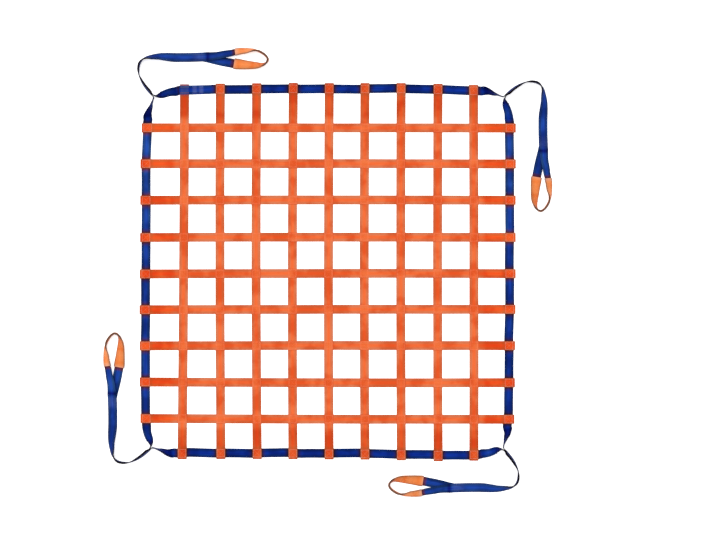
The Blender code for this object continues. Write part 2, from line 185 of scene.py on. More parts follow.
def buildWebbingTree():
    graph, given = newTree("webbing", [
        ("Width", "Float"), ("Thickness", "Float"), ("Rib depth", "Float"), ("Edge", "Float"),
        ("Ribs", "Int"), ("Material", "Material")])
    path = given
    acrossFace = given.out("Ribs") * 2 + 1
    around = acrossFace * 2
    rings = graph.add("GeometryNodeAttributeDomainSize", {"component": "MESH"}, {0: path})
    line = graph.add("GeometryNodeCurvePrimitiveLine", None, {"End": (0, 0, 1)})
    rail = graph.add("GeometryNodeResampleCurve", {"mode": "COUNT"}, {"Curve": line, "Count": rings})
    cut = graph.add("GeometryNodeCurvePrimitiveCircle", None, {"Resolution": around, "Radius": 0.1})
    tube = graph.add("GeometryNodeCurveToMesh", None,
                     {"Curve": rail, "Profile Curve": cut, "Fill Caps": True})
    index = graph.add("GeometryNodeInputIndex")
    ring = index.calc("FLOOR", index / around)
    place = index.calc("MODULO", index, around)
    under = index.calc("COMPARE", index.calc("FLOOR", place / acrossFace), 1.0, 0.1)
    side = 1 - under * 2  # 1 on the upper face, -1 on the lower
    step = index.calc("MODULO", place, acrossFace)
    share = step / (acrossFace - 1)
    sideways = (share - 0.5) * side * given.out("Width")
    groove = 1 - index.calc("MODULO", step, 2.0)
    selvedge = index.calc("GREATER_THAN", index.calc("ABSOLUTE", share - 0.5), 0.499)
    crown = given.out("Thickness") * 0.5 - groove * given.out("Rib depth")
    lift = (crown * (1 - selvedge) + given.out("Edge") * selvedge) * side

    def onPath(value):
        return graph.add("GeometryNodeSampleIndex", {"data_type": "FLOAT_VECTOR"},
                         {"Geometry": path, "Value": value, "Index": ring})

    def direction(name):
        return graph.add("GeometryNodeInputNamedAttribute", {"data_type": "FLOAT_VECTOR"},
                         {"Name": name})

    def scaled(vector, amount):
        return graph.add("ShaderNodeVectorMath", {"operation": "SCALE"},
                         {"Vector": vector, "Scale": amount})

    def joined(first, second):
        return graph.add("ShaderNodeVectorMath", {"operation": "ADD"}, {0: first, 1: second})

    middle = onPath(graph.add("GeometryNodeInputPosition"))
    spot = joined(middle, joined(scaled(onPath(direction("across")), sideways),
                                 scaled(onPath(direction("facing")), lift)))
    belt = graph.add("GeometryNodeSetPosition", None, {"Geometry": tube, "Position": spot})
    return closeTree(graph, graph.add("GeometryNodeSetShadeSmooth", None, {0: belt}),
                     given.out("Material"))


webbingTree = buildWebbingTree()


def arcLength(centres):
    steps = np.linalg.norm(np.diff(centres, axis=0), axis=1)
    return np.concatenate(([0.0], np.cumsum(steps)))


def cutAround():  # sideways place and distance round the cut, for each of its points
    count = places // 2
    share = np.arange(count) / (count - 1)
    sideways = np.concatenate((share - 0.5, 0.5 - share)) * webbing["width"]
    lift = np.full(places, face)
    lift[[0, count - 1, count, places - 1]] = webbing["edge"]
    lift[count:] *= -1
    corner = np.column_stack((sideways, lift))
    steps = np.linalg.norm(np.diff(np.vstack((corner, corner[:1])), axis=0), axis=1)
    return sideways, lift, np.concatenate(([0.0], np.cumsum(steps)))


bakeMap = {  # metres, before the map is scaled to fill its square
    "gap": 0.004,
    "capsAcross": 0.030,  # the cut ends lie in a strip of their own, below the rows
    "capStep": 0.008,
    "capStrip": 0.016,
    "fill": 0.98,
    "margin": 0.01,
}


def mapWebbing(mesh, along, start):
    # "webbing" is metres across and along; "OFBake" folds the length into rows
    sideways, lift, girthAt = cutAround()
    corners = np.empty(len(mesh.loops), dtype=np.int64)
    mesh.loops.foreach_get("vertex_index", corners)
    ring, place = corners // places, corners % places
    sizes = np.empty(len(mesh.polygons), dtype=np.int64)
    mesh.polygons.foreach_get("loop_total", sizes)
    owner = np.repeat(np.arange(len(sizes)), sizes)
    flat = mesh.uv_layers.new(name="webbing")
    flat.data.foreach_set("uv", np.column_stack(
        (sideways[place], along[ring] + start)).astype(np.float32).ravel())
    firstRing = np.full(len(sizes), np.iinfo(np.int64).max)
    np.minimum.at(firstRing, owner, ring)
    lastPlace = np.zeros(len(sizes), dtype=np.int64)
    np.maximum.at(lastPlace, owner, place)
    wraps = (lastPlace[owner] == places - 1) & (place == 0) & (sizes[owner] == 4)
    turned = girthAt[np.where(wraps, places, place)]
    girth = girthAt[-1] + bakeMap["gap"]
    rows = max(1, round(math.sqrt(along[-1] / girth)))
    rowOf = np.minimum((along * rows / along[-1]).astype(int), rows - 1)[firstRing][owner]
    rowStart = along[np.searchsorted(along, along[-1] * np.arange(rows) / rows - 1e-9)]
    u = rowOf * girth + turned
    v = along[ring] - rowStart[rowOf] + bakeMap["gap"] + bakeMap["capStrip"]
    cap = sizes[owner] > 4
    capRow = (firstRing[owner] > 0) * bakeMap["capStep"]
    u = np.where(cap, sideways[place] + bakeMap["capsAcross"], u)
    v = np.where(cap, lift[place] + bakeMap["gap"] + capRow, v)
    scale = bakeMap["fill"] / max(u.max(), v.max())
    bake = mesh.uv_layers.new(name="OFBake")
    square = np.column_stack((u, v)).astype(np.float32).ravel() * scale + bakeMap["margin"]
    bake.data.foreach_set("uv", square)
    mesh.uv_layers.active = flat


def pointValues(mesh, label, values):
    mesh.attributes.new(label, "FLOAT", "POINT").data.foreach_set(
        "value", np.asarray(values, dtype=np.float32))


def weave(name, centres, across, facing, finish, start, **marks):
    # one length of webbing; marks are values for each cut, kept as attributes
    chain = [(i, i + 1) for i in range(len(centres) - 1)]
    path = pathMesh(f"{name}_line", centres, chain, {"across": across, "facing": facing})
    piece = grow(name, path, webbingTree, {
        "Width": webbing["width"], "Thickness": webbing["thickness"], "Ribs": webbing["ribs"],
        "Rib depth": webbing["ribDepth"], "Edge": webbing["edge"], "Material": finish})
    along = arcLength(np.asarray(centres))
    mapWebbing(piece.data, along, start)
    for label, values in marks.items():
        pointValues(piece.data, label, np.repeat(values, places))
    piece.data.set_sharp_from_angle(angle=math.radians(50))
    return piece, float(along[-1])


# finishes
def newFinish(name, uvMap):  # a material with its graph and the two places on its map
    material = bpy.data.materials.new(name)
    material.use_nodes = True
    graph = Graph(material.node_tree)
    place = graph.add("ShaderNodeUVMap", {"uv_map": uvMap})
    split = graph.add("ShaderNodeSeparateXYZ", None, {0: place})
    return material, graph, split, split.out("Y")


def closeFinish(graph, colour, rough, bump, constants):
    shader = graph.tree.nodes["Principled BSDF"]
    for socket, wire in (("Base Color", colour), ("Roughness", rough), ("Normal", bump)):
        graph.tree.links.new(wire.socket, shader.inputs[socket])
    for socket, value in constants.items():
        shader.inputs[socket].default_value = value


def webbingFinish(name, look):
    material, graph, across, along = newFinish(name, "webbing")
    across, along = across * 1000.0, along * 1000.0  # millimetres from here on

    def mark(label):
        return graph.add("ShaderNodeAttribute", {"attribute_name": label}).out("Fac")

    yarn = across / look["yarn"]
    ridge = yarn.calc("ABSOLUTE", yarn.calc("SINE", yarn * math.pi))
    lean = yarn.calc("ABSOLUTE", yarn.calc("FLOOR", yarn)) * 0.25  # chevrons from the middle out
    over = yarn.calc("SINE", (along / look["pick"] + lean) * (2 * math.pi)) * 0.5 + 0.5
    cord = ridge * (over * 0.45 + 0.55)
    fibre = graph.noise(across * 2.2, along * 0.7, 0.0)
    height = cord + fibre * 0.5

    streak = graph.noise(across * 0.3, along * 0.006, 3.1)
    thin = graph.noise(across * 1.1, along * 0.015, 7.7)
    cloud = graph.noise(across * 0.018, along * 0.013, 1.3)
    patch = graph.noise(across * 0.004, along * 0.0035, 5.9)
    fromMiddle = yarn.calc("ABSOLUTE", across)
    sewn = mark("sewn")
    inBox = sewn * (1 - graph.band(fromMiddle, 19.0, 22.0))

    colour = graph.mixColour(graph.band(streak, 0.35, 0.68) * look["streaks"],
                             look["colour"], look["light"])
    colour = graph.mixColour(graph.band(cloud * 0.55 + patch * 0.45, 0.40, 0.60) * look["clouds"],
                             colour, look["deep"])
    colour = graph.tint(mark("toned"), colour, look["toned"])
    colour = graph.tint(inBox, colour, look["sewn"])
    # edge and the grey tint below: painted shade across the rounded edges, deepest at the selvedge
    colour = graph.tint(graph.band(fromMiddle, look["edgeFrom"], 17.0) * (1 - sewn * look["boxClear"]),
                        colour, look["edge"])
    colour = graph.tint(graph.band(fromMiddle, 23.0, 25.3) * 0.35, colour, (0.5, 0.5, 0.5))
    # crease: painted shade at folds, beside the straps and at the sleeve mouths
    colour = graph.tint(mark("crease"), colour, look["crease"])
    colour = graph.tint(mark("shaded") * graph.band(fromMiddle, look["shadeFrom"], look["shadeFrom"] + 3.0),
                        colour, look["shaded"])
    # onEdge: painted shade where the belt stands on edge, darkest at its edges
    colour = graph.tint(mark("onEdge") * (graph.band(fromMiddle, 20.0, 24.0) * 0.6 + 0.4),
                        colour, look["onEdge"])
    shade = 0.86 + cord * 0.2 + (thin - 0.5) * look["threads"]
    colour = graph.tint(1.0, colour, graph.grey(shade))
    rough = look["roughness"] + (fibre - 0.5) * 0.25 - graph.band(streak, 0.4, 0.7) * 0.08
    bump = graph.add("ShaderNodeBump", None,
                     {"Strength": 0.7, "Distance": look["relief"], "Height": height})
    closeFinish(graph, colour, rough, bump, {
        "Specular IOR Level": look["gloss"], "Sheen Weight": look["sheen"], "Sheen Roughness": 0.45})
    return material


# colour, light and deep are the cloth's own; toned, sewn, edge, crease, shaded and onEdge
# multiply them: edge, crease and onEdge are painted shade, toned is the doubled ply's deeper
# colour on the straps and painted sheen or a paler place on the belt; shadeFrom and edgeFrom are
# millimetres from the middle, yarn and pick in size
orangeLook = {
    "colour": (0.745, 0.120, 0.0265), "light": (0.75, 0.172, 0.050), "deep": (0.640, 0.064, 0.0078),
    "sewn": (0.96, 1.04, 1.05), "edge": (0.76, 1.22, 2.2),
    "crease": (0.74, 1.1, 1.5), "shaded": (0.56, 1.1, 3.0), "onEdge": (0.5, 0.5, 0.5),
    "shadeFrom": 17.6, "edgeFrom": 3.0, "boxClear": 0.8,
    "yarn": 1.5, "pick": 2.6, "streaks": 0.45, "clouds": 0.9, "threads": 0.4,
    "roughness": 0.74, "relief": 0.00022, "gloss": 0.08, "sheen": 0.02}
orangeWebbing = {
    "upright": webbingFinish("orange upright webbing", {**orangeLook, "toned": (0.875, 0.586, 0.363)}),
    "crosswise": webbingFinish("orange crosswise webbing", {**orangeLook, "toned": (1.006, 0.62, 0.31)})}
blueWebbing = webbingFinish("blue polyester webbing", {
    "colour": (0.0020, 0.0165, 0.218), "light": (0.0040, 0.044, 0.34), "deep": (0.0006, 0.0075, 0.115),
    # toned lightens the belt: painted sheen, and a paler lap, legs and sewn blocks
    "toned": (6.5, 2.9, 1.42), "sewn": (7.0, 2.1, 1.05), "edge": (1.0, 0.80, 0.50),
    "crease": (11.0, 0.42, 0.10), "shaded": (0.22, 0.10, 0.48), "onEdge": (1.0, 0.10, 0.03),
    "shadeFrom": -5.0, "edgeFrom": 4.0, "boxClear": 0.5,
    "yarn": 1.5, "pick": 2.6, "streaks": 0.6, "clouds": 0.75, "threads": 0.5,
    "roughness": 0.62, "relief": 0.00022, "gloss": 0.02, "sheen": 0.0})


# net straps: sideways place at start, middle and end; the border's centre line at both ends
net = {
    "upright": [
        (-793, -798, -806, 1008, -991), (-596, -598, -593, 1013, -990),
        (-396, -399, -393, 1015, -990), (-194, -199, -196, 1017, -991),
        (4, 0, 3, 1016, -992), (201, 197, 201, 1016, -993), (400, 398, 401, 1016, -997),
        (603, 601, 604, 1012, -1002), (799, 801, 801, 1006, -999)],
    "crosswise": [
        (802, 802, 801, -996, 999), (604, 605, 603, -1003, 999), (403, 405, 403, -1004, 998),
        (198, 200, 198, -1005, 998), (-3, 0, -1, -1007, 998), (-200, -198, -198, -1008, 997),
        (-399, -397, -398, -1007, 995), (-598, -602, -602, -1007, 994),
        (-799, -803, -803, -1003, 991)],
    "levelHalf": 0.030,  # level stretch at a crossing
    "sag": 0.0012,  # dip of an upper strap between crossings
    "foldSlack": 0.004,
    "foldSteps": 8,
    "tailStop": 0.030,
    "stepDown": 0.040,
    "cutEvery": 0.016,
    "wander": 0.0004,  # sideways, so no edge is ruled
    "sewnHalf": 0.020,
    "sewnFade": 0.004,
    "tailFade": 0.012,
    "creaseOut": 0.006,  # beyond the belt's edge
    "creaseSpread": 0.005,
    "creaseDepth": 0.8,
    "shadeOut": 0.002,
    "shadeFade": 0.006,
    "rollStep": 3.7,  # where each strap starts on the roll, so that no two look alike
}
dice = random.Random(41)


def strapPlace(strap, share):
    start, middle, end = strap[:3]
    bow = middle - (start + end) / 2
    return (start + (end - start) * share + bow * 4 * share * (1 - share)) * mm


def endCourse(seat, crossing, outwards):  # cut tail on the floor, fold, and back over the tail
    tail = crossing + outwards * (half + net["tailStop"])
    turn = seat + outwards * (half + net["foldSlack"])
    angles = [math.pi * (1 - step / net["foldSteps"]) for step in range(net["foldSteps"] + 1)]
    fold = [(turn + outwards * layer * math.sin(a), layer * (1 + math.cos(a))) for a in angles]
    offBorder = seat - outwards * (half + net["levelHalf"] / 6)
    return [(tail, 0.0)] + fold + [(offBorder, 2 * layer),
                                   (offBorder - outwards * net["stepDown"], layer), (tail, layer)]


def strapCourse(strap, crossings, levels):
    first, last = strap[3] * mm, strap[4] * mm
    forward = 1 if last > first else -1
    knots = endCourse(first, crossings[0], -forward)
    for index, (place, level) in enumerate(zip(crossings, levels)):
        knots.append((place - forward * net["levelHalf"], level * layer))
        knots.append((place + forward * net["levelHalf"], level * layer))
        if all(levels) and index + 1 < len(crossings):
            knots.append(((place + crossings[index + 1]) / 2, layer - net["sag"]))
    knots += endCourse(last, crossings[-1], forward)[::-1]
    course = [knots[0]]
    for (fromPlace, fromHeight), (toPlace, toHeight) in zip(knots, knots[1:]):
        count = max(1, math.ceil(abs(toPlace - fromPlace) / net["cutEvery"]))
        for step in range(1, count + 1):
            t = step / count
            ease = t * t * (3 - 2 * t)
            course.append((fromPlace + (toPlace - fromPlace) * t,
                           fromHeight + (toHeight - fromHeight) * ease))
    return course


def ripple(course, size):  # a slow seeded wander from side to side
    waves = [(dice.uniform(2.5, 9.0), dice.uniform(0, 6.28), dice.uniform(0.3, 1.0)) for _ in range(5)]
    total = sum(w[2] for w in waves)
    return [size * sum(w[2] * math.sin(w[0] * place + w[1]) for w in waves) / total
            for place, _ in course]


def layStrap(name, strap, crossings, levels, alongX, start):
    course = strapCourse(strap, crossings, levels)
    first, last = strap[3] * mm, strap[4] * mm
    wander = ripple(course, net["wander"])
    points = []
    for (place, height), shift in zip(course, wander):
        aside = strapPlace(strap, (place - first) / (last - first)) + shift
        x, y = (place, aside) if alongX else (aside, place)
        points.append(Vector((x, y, height + face)))
    sideways = Vector((0, 1, 0)) if alongX else Vector((1, 0, 0))
    facing = []
    for index, point in enumerate(points):
        before = (point - points[max(index - 1, 0)]).normalized()
        after = (points[min(index + 1, len(points) - 1)] - point).normalized()
        bend = before.angle(after) / 2 if before.length and after.length else 0
        facing.append(sideways.cross(before + after).normalized() / math.cos(bend))
    spots = np.array([place for place, _ in course])
    seats = np.array([first, last])
    tails = np.array([crossings[0] + math.copysign(half + net["tailStop"], first),
                      crossings[-1] + math.copysign(half + net["tailStop"], last)])
    doubled = np.clip((np.abs(spots) - np.where(spots * first > 0, abs(tails[0]), abs(tails[1])))
                      / net["tailFade"] + 0.5, 0, 1)
    near = np.min(np.abs(spots[:, None] - np.array([*crossings, *seats])[None]), axis=1)
    sewn = np.clip((net["sewnHalf"] + net["sewnFade"] / 2 - near) / net["sewnFade"], 0, 1)
    border = np.min(np.abs(spots[:, None] - seats[None]), axis=1)
    # painted shade in a band just beyond each side of the border belt, at the fold and the step down
    crease = np.exp(-((border - half - net["creaseOut"]) / net["creaseSpread"]) ** 2)
    shaded = np.clip((half + net["shadeOut"] - border) / net["shadeFade"], 0, 1)
    return weave(name, points, [sideways] * len(points), facing,
                 orangeWebbing["crosswise" if alongX else "upright"], start,
                 toned=doubled, sewn=sewn, crease=crease * net["creaseDepth"],
                 onEdge=np.zeros(len(points)), shaded=shaded)


straps = {}
for kind, others in (("upright", "crosswise"), ("crosswise", "upright")):
    for number, strap in enumerate(net[kind]):
        crossings = [strapPlace(other, number / 8) for other in net[others]]
        # odd upright straps lie over all that they cross
        levels = [(number % 2 == 0) if kind == "upright" else (other % 2 == 1) for other in range(9)]
        node = f"strap_{kind}_{number + 1}"
        piece, length = layStrap(f"webbing_{kind}_{number + 1}", strap, crossings, levels,
                                 kind == "crosswise", net["rollStep"] * len(straps))
        straps[node] = (piece, length)
print("straps laid:", len(straps))

# border belt and its lifting legs, one length of webbing
belt = {
    "corners": [("top", -959, 974, -0.4), ("right", 967, 970, -0.7),
                ("bottom", 960, -965, -0.7), ("left", -974, -956, -0.6)],
    # how much further out than its seat the belt lies before and after each strap, clockwise
    "slants": [
        [(0, 1), (2, 0), (-1, 1), (0, -1), (1, 0), (-1, 2), (4, 1), (2, 1), (1, 0)],
        [(-1, -3), (-1, -1), (0, 0), (1, -1), (-2, 0), (1, 0), (-2, 0), (0, -1), (0, -6)],
        [(-2, 2), (-1, -4), (0, -1), (-1, -4), (-2, -1), (0, -4), (-1, 1), (-1, 0), (-5, -1)],
        [(0, 4), (2, 1), (1, 2), (-1, 0), (1, -1), (0, 0), (0, 1), (2, 1), (2, 1)]],
    # share of the way to the first strap, low edge out from the corner, lean from the floor
    "leaving": [(0.10, -3.8, 78), (0.16, -6.1, 63), (0.22, -8.2, 54), (0.28, -8.1, 49),
                (0.35, -7.6, 46), (0.48, -2.8, 41), (0.62, 2.3, 35), (0.75, 3.9, 24),
                (0.88, 4.2, 7)],
    "arriving": [(0.14, 5, 90), (0.26, 8.5, 84), (0.38, 8.4, 73), (0.50, 10.3, 63),
                 (0.63, 13, 47), (0.70, 12.2, 27), (0.77, 10.5, 8), (0.89, 8, 0)],
    "arrivesOut": 11,  # last seat out from the corner, at which the table above holds
    "slantReach": (0.63, 0.85),  # where the last strap's slant starts to show, and is full
    # low edge along and out from the corner, lean, height underneath, share held by the sleeve
    "doubled": [(-23, 19, 80, 0, 0), (-38, 34, 78, 0, 0), (-68, 78, 82, 0, 0),
                (-86, 120, 86, 0, 0), (-88, 152, 88, 0, 0), (-79, 187, 89, 0, 0),
                (-67, 204, 84, 0, 0), (-51, 216, 76, 0, 0), (-17, 229, 57, 0, 0),
                (22, 238, 42, 0, 0), (66, 241, 24, 0, 0), (121, 241, 0, 0, 0),
                (193, 242, 0, 0, 0), (265, 245, 0, 0, 0)],
    "upper": [(265, 245, 0, 2.8, 0), (286, 247, 8, 2.8, 0), (308, 247, 18, 1.4, 0),
              (342, 249, 28, 0, 0), (380, 256, 32, 0, 0), (419, 261, 37, 0, 0.4),
              (441, 265, 41, 0, 1), (474, 268, 48, 0, 1), (507, 268, 55, 0, 1),
              (535, 266, 68, 0, 1), (556, 260, 81, 0, 1), (575, 252, 89, 0, 1),
              (597, 240, 90, 0, 1), (616, 224, 90, 0, 1), (625, 208, 90, 0, 1)],
    "lower": [(620, 195, 88, 0, 1), (606, 187, 77, 0, 1), (588, 187, 61, 0, 1),
              (562, 190, 47, 0, 1), (529, 195, 36, 0, 1), (496, 200, 25, 0, 1),
              (463, 206, 9, 0, 1), (441, 209, 0, 0, 1), (419, 213, 0, 0, 0.4),
              (375, 221, 0, 0, 0), (331, 231, 0, 0, 0), (298, 239, 0, 0, 0),
              (265, 245, 0, 0, 0)],
    # out from the corner and thickness there: the doubled belt stands loosely on edge
    "swell": [(0, 34, 78, 92, 104, 118, 132, 145, 160, 185, 203, 212, 225, 238),
              (2.5, 1.9, 1.9, 1.5, 1.1, 1.0, 1.4, 1.95, 1.9, 1.75, 1.35, 1.6, 1.5, 1.0)],
    "rootSwell": 0.4,
    # place from the near end to the far end and how much painted sheen lightens the belt there
    "sheenLeft": [(-0.8, 0.0, 0.2, 0.4, 0.55, 0.8), (0.30, 0.30, 0.40, 0.72, 1.0, 0.85)],
    "sheenRight": [(-0.8, 0.0, 0.2, 0.4, 0.55, 0.8), (0.05, 0.20, 0.30, 0.50, 0.85, 0.55)],
    # how much paler the legs are all along
    "legPale": 0.48,
    "mouthShade": 0.014,  # length over which the shade at a sleeve's mouth fades
    "legRoot": 0.015,
    "lapStep": 0.047,
    "lapLength": 0.107,
    "sewEdge": 0.028,
    "turnStep": math.radians(5),
    "cutEvery": 0.014,
}
sleeve = {
    "width": 0.060,
    "wall": 0.0012,
    "clearance": 0.0005,
    "mouth": 0.436,
    "around": 44,
    "hem": 0.012,
    "hemRise": 0.0004,
    "hemFade": 0.0025,
    "squareness": 0.2,  # of the cut across; 1 is an ellipse
    "tuck": 0.0004,
    "ease": 0.0003,  # fullness all over
    "pucker": 0.0007,  # on the inner side of the turn
    "puckerPitch": 0.011,
    "fullTurn": 12,  # bend, per metre, that puckers in full
    "edgeShare": 0.4,  # fullness at the folded edges
    "standsFrom": 0.88,
    "standsFade": 0.10,
    "swell": 0.7,  # how much fuller the tube is where it stands on edge
    "edgeFrom": 0.60,  # the folded edges' shade, as a share of the half width
    "edgeFade": 0.32,
    "tipDark": (0.72, 0.28, 0.60, 0.09),  # shade on edge, what the tip adds, its place and spread
}
sleeveThick = webbing["thickness"] + 2 * (sleeve["clearance"] + sleeve["wall"])


def smoothRows(rows):  # x, y and lean follow a cubic through the rows, the rest is eased
    knots = np.array(rows, dtype=float)
    lengths = np.linalg.norm(np.diff(knots[:, :2], axis=0), axis=1)
    reach = np.concatenate(([0.0], np.cumsum(lengths)))
    slopes = np.gradient(knots[:, :3], reach, axis=0)
    course = np.unwrap(np.arctan2(slopes[:, 1], slopes[:, 0]))
    points = []
    for i, length in enumerate(lengths):
        change = abs(course[i + 1] - course[i]) + abs(knots[i + 1, 2] - knots[i, 2])
        count = max(math.ceil(change / belt["turnStep"]), math.ceil(length / belt["cutEvery"]), 1)
        last = i == len(lengths) - 1
        for step in range(count + last):
            t = step / count
            ease = t * t * (3 - 2 * t)
            bent = (knots[i, :3] * (1 - ease) + knots[i + 1, :3] * ease
                    + slopes[i] * t * (1 - t) ** 2 * length
                    + slopes[i + 1] * t * t * (t - 1) * length)
            points.append(np.concatenate((bent, knots[i, 3:] * (1 - ease) + knots[i + 1, 3:] * ease)))
    points = np.array(points)
    headings = np.gradient(points[:, :2], axis=0)
    return points, headings / np.linalg.norm(headings, axis=1)[:, None]


def leaningCut(foot, heading, lean, raised, stack, aside):
    # the belt stands on its low edge; lean 0 lies to the right, 180 degrees to the left
    across = heading.cross(up) * math.cos(lean) + up * math.sin(lean)
    facing = across.cross(heading)
    height = raised + stack / 2 * abs(math.cos(lean))
    return foot + up * height + across * half + facing * aside, across, facing


def cornerFrame(index):
    side, x, y, swing = belt["corners"][index % 4]
    turn = math.radians(swing) - math.pi / 2 * (index % 4)
    return Matrix.Translation(Vector((x, y, 0)) * mm) @ Matrix.Rotation(turn, 4, "Z")


rootPoint = Vector((*belt["doubled"][0][:2], 0)).normalized() * belt["legRoot"]


def legCuts():  # in the corner's own frame: out, round the eye and home again
    def metres(rows):
        return [(x * mm, y * mm, math.radians(lean), raised * mm, held)
                for x, y, lean, raised, held in rows]

    start = rootPoint + rootPoint.normalized() * webbing["gap"] / 2
    doubled, headings = smoothRows([(start.x, start.y, math.pi / 2, 0, 0)] + metres(belt["doubled"]))
    stack = webbing["thickness"] + layer
    out, home = [], []
    for (x, y, lean, raised, _), course in zip(doubled, headings):
        foot, heading = Vector((x, y, 0)), Vector((*course, 0))
        lean = max(0.0, min(lean, math.pi / 2))
        swell = float(np.interp(y / mm, *belt["swell"]))
        for ply, way, tilt in ((out, heading, lean), (home, -heading, math.pi - lean)):
            centre, across, facing = leaningCut(foot, way, tilt, raised, stack, layer / 2 * swell)
            ply.append((centre, across, facing * swell))
    branch, courses = smoothRows(metres(belt["upper"] + belt["lower"]))
    branch[:, 2] = np.clip(branch[:, 2], 0, math.pi / 2)
    tip = int(np.argmax(branch[:, 0]))
    eye, sleeved = [], []
    for index, ((x, y, lean, raised, held), course) in enumerate(zip(branch, courses)):
        standing = (sleeve["width"] - webbing["width"]) / 2 * math.sin(lean)
        lying = (sleeveThick - webbing["thickness"]) / 2 * abs(math.cos(lean))
        raised += held * (standing + lying)
        turned = math.pi - lean if index > tip else lean
        eye.append(leaningCut(Vector((x, y, 0)), Vector((*course, 0)), turned, raised,
                              webbing["thickness"], 0))
        sleeved.append(x > sleeve["mouth"])
    inside = [index for index, yes in enumerate(sleeved) if yes]
    return out, eye[1:-1], home[::-1], eye[inside[0]:inside[-1] + 1], (inside[0], inside[-1])


def borderRow(place, along, out, lean, raised=0.0, aside=0.0):
    foot = place @ Vector((along, out, 0))
    return (foot.x, foot.y, math.pi - math.radians(lean), raised, aside)


def sideSeats(side):  # clockwise: place along, distance out, extra before and after the strap
    uprights, crosswise = net["upright"], net["crosswise"]
    seats = [[(s[0], s[3]) for s in uprights], [(-s[2], s[4]) for s in crosswise],
             [(-s[2], -s[4]) for s in reversed(uprights)],
             [(s[0], -s[3]) for s in reversed(crosswise)]][side]
    return [(along * mm, out * mm, before * mm, after * mm)
            for (along, out), (before, after) in zip(seats, belt["slants"][side])]


def seatRows(place, seats):
    rows = []
    for index, (along, out, before, after) in enumerate(seats):
        rows.append(borderRow(place, along - belt["sewEdge"], out - half + before, 0, layer))
        rows.append(borderRow(place, along + belt["sewEdge"], out - half + after, 0, layer))
        if index + 1 < len(seats):
            nextAlong, nextOut, nextBefore, _ = seats[index + 1]
            rows.append(borderRow(place, (along + nextAlong) / 2,
                                  (out + after + nextOut + nextBefore) / 2 - half, 0, 0))
    return rows


def rootRows(place):
    near = rootPoint * (1 - webbing["gap"] / (2 * belt["legRoot"]))
    return [borderRow(place, near.x, near.y, 90, 0, 1), borderRow(place, 0, 0, 90, 0, 2)]


def leavingRows(index, seats):
    place = cornerFrame(index)
    start = (Matrix.Rotation(math.pi / 2 * index, 4, "Z") @ place).translation
    span = seats[0][0] - belt["sewEdge"] - start.x
    return rootRows(place) + [borderRow(place, share * span, inset * mm, lean)
                              for share, inset, lean in belt["leaving"]]


def arrivingRows(index, seats):
    place = cornerFrame(index)
    end = (Matrix.Rotation(math.pi / 2 * (index - 1), 4, "Z") @ place).translation
    span = end.x - seats[-1][0] - belt["sewEdge"]
    _, lastOut, _, after = seats[-1]
    spread = (lastOut - half - end.y) / belt["arrivesOut"]
    rows = []
    for share, inset, lean in reversed(belt["arriving"]):
        slant = float(np.interp(share, belt["slantReach"], (0, after)))
        rows.append(borderRow(place, -inset * spread - slant, -share * span, lean))
    return rows + rootRows(place)[::-1]


def borderCuts(rows):
    points, headings = smoothRows(rows)
    cuts = []
    for (x, y, lean, raised, aside), course in zip(points, headings):
        lean = max(math.pi / 2, min(lean, math.pi))
        swell = 1 + aside * belt["rootSwell"]
        centre, across, facing = leaningCut(Vector((x, y, 0)), Vector((*course, 0)), lean, raised,
                                            webbing["thickness"], aside * layer / 2 * swell)
        cuts.append((centre, across, facing * swell))
    return cuts


def lapRows():  # the under end, and the upper end over the first strap's fold
    (along, out, _, after), (nextAlong, nextOut, nextBefore, _) = sideSeats(0)[:2]
    out += after
    slope = (nextOut + nextBefore - out) / (nextAlong - along)

    def row(distance, layers):
        return borderRow(Matrix.Identity(4), along + distance, out - half + slope * distance, 0,
                         layers * layer)

    sew, length = belt["sewEdge"], belt["lapLength"]
    under = [row(-sew, 1), row(sew, 1), row(sew + belt["lapStep"], 0), row(length, 0)]
    upper = [row(-sew, 3), row(sew, 3), row(sew + belt["lapStep"], 1), row(length + layer, 1),
             row(length + sew, 0.2)]
    return under, upper


def turnedBy(place, cuts):
    spin = place.to_3x3()
    return [(place @ centre, spin @ across, spin @ facing) for centre, across, facing in cuts]


def quarterTurns(count):  # clockwise, seen from above
    return Matrix.Rotation(-math.pi / 2 * count, 4, "Z")


out, eye, home, sleeved, sleeveCuts = legCuts()
under, upper = lapRows()
beltCuts, legStarts = [], {}
for index in range(4):  # clockwise from the lap on the top side
    seats = sideSeats(index)
    turnTo = cornerFrame(index + 1)
    seated = seatRows(quarterTurns(index), seats)
    rows = upper + seated[3:] if index == 0 else leavingRows(index, seats) + seated
    cuts = borderCuts(rows + arrivingRows(index + 1, seats))
    beltCuts += cuts[:-1] if index == 0 else cuts[1:-1]
    legStarts[(index + 1) % 4] = len(beltCuts)
    beltCuts += turnedBy(turnTo, out + eye + home)
beltCuts += borderCuts(leavingRows(0, sideSeats(0)) + under)[1:]

